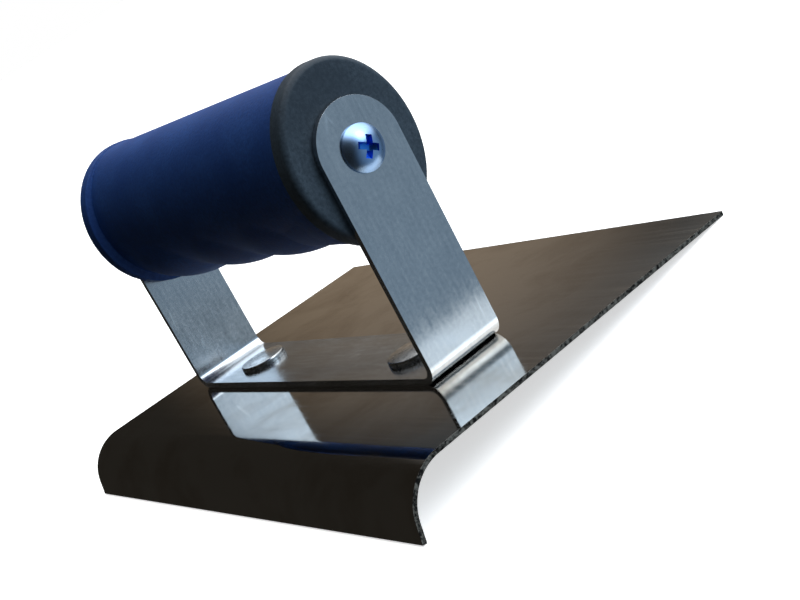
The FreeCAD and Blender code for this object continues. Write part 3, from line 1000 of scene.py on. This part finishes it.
@dataclass
class Grip:
    """The blue handle: an oval tube with finger lobes below, closed by its own flange on the left."""

    wide: float = 29.2 * MM
    tall: float = 35.4 * MM
    lift: float = 0.7 * MM
    wall: float = 3.0 * MM
    flange_tall: float = 37.6 * MM
    flange_thick: float = 4.6 * MM
    flange_round: float = 1.1 * MM
    fillet: float = 0.4 * MM
    bore: float = 10.16 * MM
    notches: int = 3
    lobe_pitch: float = 25.5 * MM
    lobe_rise: float = 1.3 * MM
    lobe_end: float = 14.5 * MM
    blend: float = 0.3 * MM
    ease: float = 0.3 * MM
    past_cove: float = 1.001
    first_ring: float = 1.01
    steps: int = 144
    body_steps: int = 170
    low: Vector = field(default_factory=lambda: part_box("grip")[0])
    high: Vector = field(default_factory=lambda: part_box("grip")[1])

    @property
    def centre(self) -> Vector:
        """The grip's axis, as the joint gives it, at the middle of the legs."""
        return Vector(frame["joints"][0]["pos_m"])

    def lobes(self, along: Array, angle: Array, reach: Array) -> Array:
        """Swells the oval with the finger lobes.

        The lobes are arcs of one radius between notches, turned round an axis at the centre of curvature of
        the oval's lowest point. The first runs from the flange, and the cap cuts the last one short. The
        farther of oval and lobes is taken, with a small round where they meet.

        Args:
            along: Places along the axis.
            angle: Angles round it.
            reach: The oval's reach.

        Returns:
            The swollen reach.
        """
        low = self.tall / 2
        curvature = (self.wide / 2) ** 2 / low
        radius = ((self.lobe_pitch / 2) ** 2 + self.lobe_rise ** 2) / (2 * self.lobe_rise)
        first = self.high.x - self.centre.x - self.lobe_end
        edges = first - self.lobe_pitch * np.arange(self.notches - 1, -2, -1)
        edges = np.concatenate([[self.shoulder], edges])
        place = np.clip(np.searchsorted(edges, along, side="right") - 1, 0, len(edges) - 2)
        start, end = edges[place], edges[place + 1]
        half = (end - start) / 2
        inside = radius ** 2 - (along - (start + end) / 2) ** 2
        rise = np.sqrt(np.maximum(inside, 0)) - np.sqrt(radius ** 2 - half ** 2)
        drop = low - curvature
        chord = (curvature + rise) ** 2 - (drop * np.cos(angle)) ** 2
        lobe = -drop * np.sin(angle) + np.sqrt(np.maximum(chord, 0))
        gap = np.clip(1 - np.abs(lobe - reach) / self.blend, 0, 1)
        on_body = along > self.shoulder + self.fillet * self.past_cove
        return np.where(on_body, np.maximum(lobe, reach) + gap ** 2 * self.blend / 4, reach)

    @property
    def shoulder(self) -> float:
        """Where the flange's inner face meets the body, along the axis."""
        return self.low.x - self.centre.x + self.flange_thick

    def build(self) -> Object:
        """Carries the grip's closed profile round its axis.

        The profile runs from the bore up the left face, round the flange's rim, down its shoulder, along the
        body, round the right end, back along the hollow, down the flange's inner face and home along the
        bore. The body's first ring stands just clear of the cove, and the lobes start between the two.
        """
        left = self.low.x - self.centre.x
        right = self.high.x - self.centre.x
        shoulder = self.shoulder
        flange_wide, flange_tall = (self.high.y - self.low.y) / 2, self.flange_tall / 2
        wide, tall, hole = self.wide / 2, self.tall / 2, self.bore / 2
        rim = self.flange_round
        inner_wide, inner_tall = wide - self.wall, tall - self.wall
        across = np.linspace(0, 1, 8)[1:, None]
        face_start = np.array([[left, hole, hole]])
        face_end = np.array([left, flange_wide - rim, flange_tall - rim])
        face = face_start + (face_end - face_start) * across
        outer = rim_round(left + rim, flange_wide - rim, flange_tall - rim, rim, -QUARTER, 0, 14)
        back = rim_round(shoulder - self.ease, flange_wide - self.ease, flange_tall - self.ease, self.ease,
                         0, QUARTER, 5)
        cove = rim_round(shoulder + self.fillet, wide + self.fillet, tall + self.fillet, self.fillet,
                         -QUARTER, -2 * QUARTER, 6)
        run = np.linspace(shoulder + self.fillet * self.first_ring, right - self.ease, self.body_steps)
        body = np.stack([run, np.full_like(run, wide), np.full_like(run, tall)], axis=1)
        mouth = rim_round(right - self.ease, wide - self.ease, tall - self.ease, self.ease, 0, QUARTER, 5)
        hollow = np.array([(right, inner_wide, inner_tall), (shoulder, inner_wide, inner_tall)])
        bore = np.array([(shoulder, hole, hole), (left, hole, hole)])
        profile = np.concatenate([lifted(0.0, face_start, face, outer[1:], back),
                                  lifted(self.lift, cove, body, mouth, hollow), lifted(0.0, bore)])
        piece = shell("grip_moulding", oval_rings(profile, self.centre, self.steps, self.lobes))
        dress(piece, [MouldedPlastic(name="polypropylene_blue_moulded").build()])
        return piece


@dataclass
class EndCap:
    """The black cap that closes the grip's right end, with its plug ring and hub."""

    thick: float = 4.6 * MM
    rim: float = 1.3 * MM
    back_ease: float = 0.35 * MM
    plug_depth: float = 9.0 * MM
    plug_wall: float = 2.0 * MM
    hub_wall: float = 2.5 * MM
    fit: float = 0.1 * MM
    steps: int = 144
    low: Vector = field(default_factory=lambda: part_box("end_cap")[0])
    high: Vector = field(default_factory=lambda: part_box("end_cap")[1])

    def build(self, grip: Grip) -> Object:
        """Carries the cap's closed profile round the grip's axis: face, rim, back, plug ring, hub and bore.

        Args:
            grip: The grip that the cap plugs into.

        Returns:
            The piece.
        """
        centre = grip.centre
        right = self.high.x - centre.x
        seat = right - self.thick
        end = seat - self.plug_depth
        wide, tall = (self.high.y - self.low.y) / 2, (self.high.z - self.low.z) / 2
        hole, hub = grip.bore / 2, grip.bore / 2 + self.hub_wall
        ring_wide, ring_tall = grip.wide / 2 - grip.wall - self.fit, grip.tall / 2 - grip.wall - self.fit
        in_wide, in_tall = ring_wide - self.plug_wall, ring_tall - self.plug_wall
        face_start = np.array([right, hole, hole])
        face_end = np.array([right, wide - self.rim, tall - self.rim])
        face = face_start + (face_end - face_start) * np.linspace(0, 1, 10)[:, None]
        front = rim_round(right - self.rim, wide - self.rim, tall - self.rim, self.rim, QUARTER, 0, 14)
        back = rim_round(seat + self.back_ease, wide - self.back_ease, tall - self.back_ease, self.back_ease,
                         0, -QUARTER, 6)
        ring = np.array([(seat, ring_wide, ring_tall), (end, ring_wide, ring_tall), (end, in_wide, in_tall),
                         (seat, in_wide, in_tall)])
        middle = np.array([(seat, hub, hub), (end, hub, hub), (end, hole, hole), (right, hole, hole)])
        profile = np.concatenate([lifted(0.0, face, front[1:], back), lifted(grip.lift, ring),
                                  lifted(0.0, middle)])
        piece = shell("end_cap_moulding", oval_rings(profile, centre, self.steps))
        plastic = MouldedPlastic(name="polypropylene_black_moulded", base="#2C3843", shade="#232E38",
                                 rubbed="#43515D", rough=(0.42, 0.58), gloss=0.25)
        dress(piece, [plastic.build()])
        return piece


# --- stage ---

@dataclass(frozen=True)
class Panel:
    """One soft patch of light in the room, as a cone of directions that fades at its rim."""

    toward: tuple[float, float, float]
    fade_from: float
    full_from: float
    colour: tuple[float, float, float]


@dataclass
class Studio:
    """A pale floor, a soft room and the camera."""

    dark: tuple[float, float, float] = (0.022, 0.020, 0.017)
    panels: tuple[Panel, ...] = (
        Panel((0.03, 0.45, 0.89), 0.50, 0.86, (2.2, 2.2, 2.2)),
        Panel((0.73, 0.42, 0.54), 0.93, 0.985, (2.2, 2.6, 3.0)),
        Panel((0.55, 0.30, 0.78), 0.80, 0.95, (0.6, 0.65, 0.7)),
        Panel((0.77, 0.56, -0.30), 0.35, 0.97, (0.26, 0.36, 0.46)),
        Panel((-0.83, 0.54, 0.12), 0.965, 1.0, (0.26, 0.20, 0.14)),
        Panel((-0.75, 0.52, 0.41), 0.965, 1.0, (0.012, 0.025, 0.040)),
    )
    location: tuple[float, float, float] = (263.0 * MM, -134.9 * MM, 80.4 * MM)
    azimuth: float = math.radians(55.9)
    elevation: float = math.radians(15.25)
    roll: float = math.radians(-27.1)
    lens: float = 58.37
    shift: Span = (-0.1, -0.005)
    sensor: float = 36.0
    clip: Span = (0.01, 200.0)
    floor_half: float = 30.0
    floor_gap: float = 0.02 * MM

    def light_room(self) -> None:
        """Paints the room on the world.

        The room is near dark, plus each panel times a smooth step of how nearly a direction points at it.
        The camera itself sees plain white, like the paper roll it stands for.
        """
        world = bpy.data.worlds.new("soft_room")
        world.use_nodes = True
        tree = world.node_tree
        tree.nodes.clear()
        way = add(tree, "TexCoord").outputs["Generated"]
        total = add(tree, "CombineXYZ", {"X": self.dark[0], "Y": self.dark[1], "Z": self.dark[2]}).outputs[0]
        for panel in self.panels:
            aim = Vector(panel.toward).normalized()
            facing = add(tree, "VectorMath", {0: way, 1: aim}, operation="DOT_PRODUCT")
            amount = add(tree, "MapRange", {"Value": facing.outputs["Value"], "From Min": panel.fade_from,
                                            "From Max": panel.full_from}, interpolation_type="SMOOTHSTEP")
            glow = add(tree, "VectorMath", {0: panel.colour, "Scale": amount.outputs[0]}, operation="SCALE")
            total = add(tree, "VectorMath", {0: total, 1: glow.outputs[0]}, operation="ADD").outputs[0]
        room = add(tree, "Background", {"Color": total, "Strength": 1.0})
        paper = add(tree, "Background", {"Color": (1, 1, 1, 1), "Strength": 1.0})
        seen = add(tree, "LightPath").outputs["Is Camera Ray"]
        both = add(tree, "MixShader", {0: seen, 1: room.outputs[0], 2: paper.outputs[0]})
        add(tree, "OutputWorld", {"Surface": both.outputs[0]})
        bpy.context.scene.world = world
        bpy.context.scene.view_settings.view_transform = "Standard"

    def lay_floor(self, blade: Blade) -> Object:
        """A large pale sheet that touches the lip's lower corner and the blade's far edge.

        Args:
            blade: The blade that stands on it.

        Returns:
            The floor.
        """
        lip = blade.face(0.0)[-1]
        slope = (0.0 - lip[1]) / (blade.high.y - lip[0])
        side = np.array([-1.0, 1.0]) * self.floor_half
        across, back = np.meshgrid(side, side)
        up = lip[1] + slope * (back - lip[0]) - self.floor_gap
        skin = Skin()
        skin.grid(np.stack([across, back, up], axis=-1))
        floor = skin.build("studio_floor")
        dress(floor, [MattPaper().build()])
        floor.visible_glossy = False
        floor.visible_diffuse = False
        return floor

    def set_camera(self) -> Object:
        """Stands the camera at its named place, looking along its azimuth and elevation, then rolled."""
        data = bpy.data.cameras.new("camera")
        data.lens = self.lens
        data.sensor_width = self.sensor
        data.shift_x, data.shift_y = self.shift
        data.dof.use_dof = False
        data.clip_start, data.clip_end = self.clip
        camera = bpy.data.objects.new("camera", data)
        bpy.context.scene.collection.objects.link(camera)
        turn = Matrix.Rotation(self.azimuth, 4, "Z") @ Matrix.Rotation(QUARTER - self.elevation, 4, "X")
        camera.matrix_world = Matrix.Translation(self.location) @ turn @ Matrix.Rotation(self.roll, 4, "Z")
        bpy.context.scene.camera = camera
        return camera


def main() -> None:
    """Builds every piece in order, then the stage."""
    logging.basicConfig(level=logging.INFO, format="%(message)s")
    blade = Blade()
    settle(blade.build(), Body.FRAME, "blade")
    settle(Bracket().build(), Body.FRAME, "bracket")
    rivet_steel = HeadedRivetSteel().build()
    zinc = ZincPlate().build()
    # Zinc inside the cross, painted a deeper, darker blue: painted shade and painted reflection in the
    # recess.
    recess_shade_zinc = ZincPlate(name="zinc_with_painted_recess_shade", low="#4E9CF2", high="#2F7BDE",
                          rough=(0.25, 0.4)).build()
    for side in Side:
        rivet = Rivet(side)
        settle(rivet.build(rivet_steel), Body.FRAME, rivet.node)
        screw = Screw(side)
        settle(screw.build(zinc, recess_shade_zinc), Body.FRAME, screw.node)
    frame["nodes"]["tie_rod"].data.materials[0] = TurnedRodSteel().build()
    log.info("tie_rod stays as the CAD made it, in turned steel")
    grip = Grip()
    settle(grip.build(), Body.GRIP, "grip")
    settle(EndCap().build(grip), Body.GRIP, "end_cap")
    studio = Studio()
    studio.light_room()
    studio.lay_floor(blade)
    studio.set_camera()


if __name__ == "__main__":
    main()
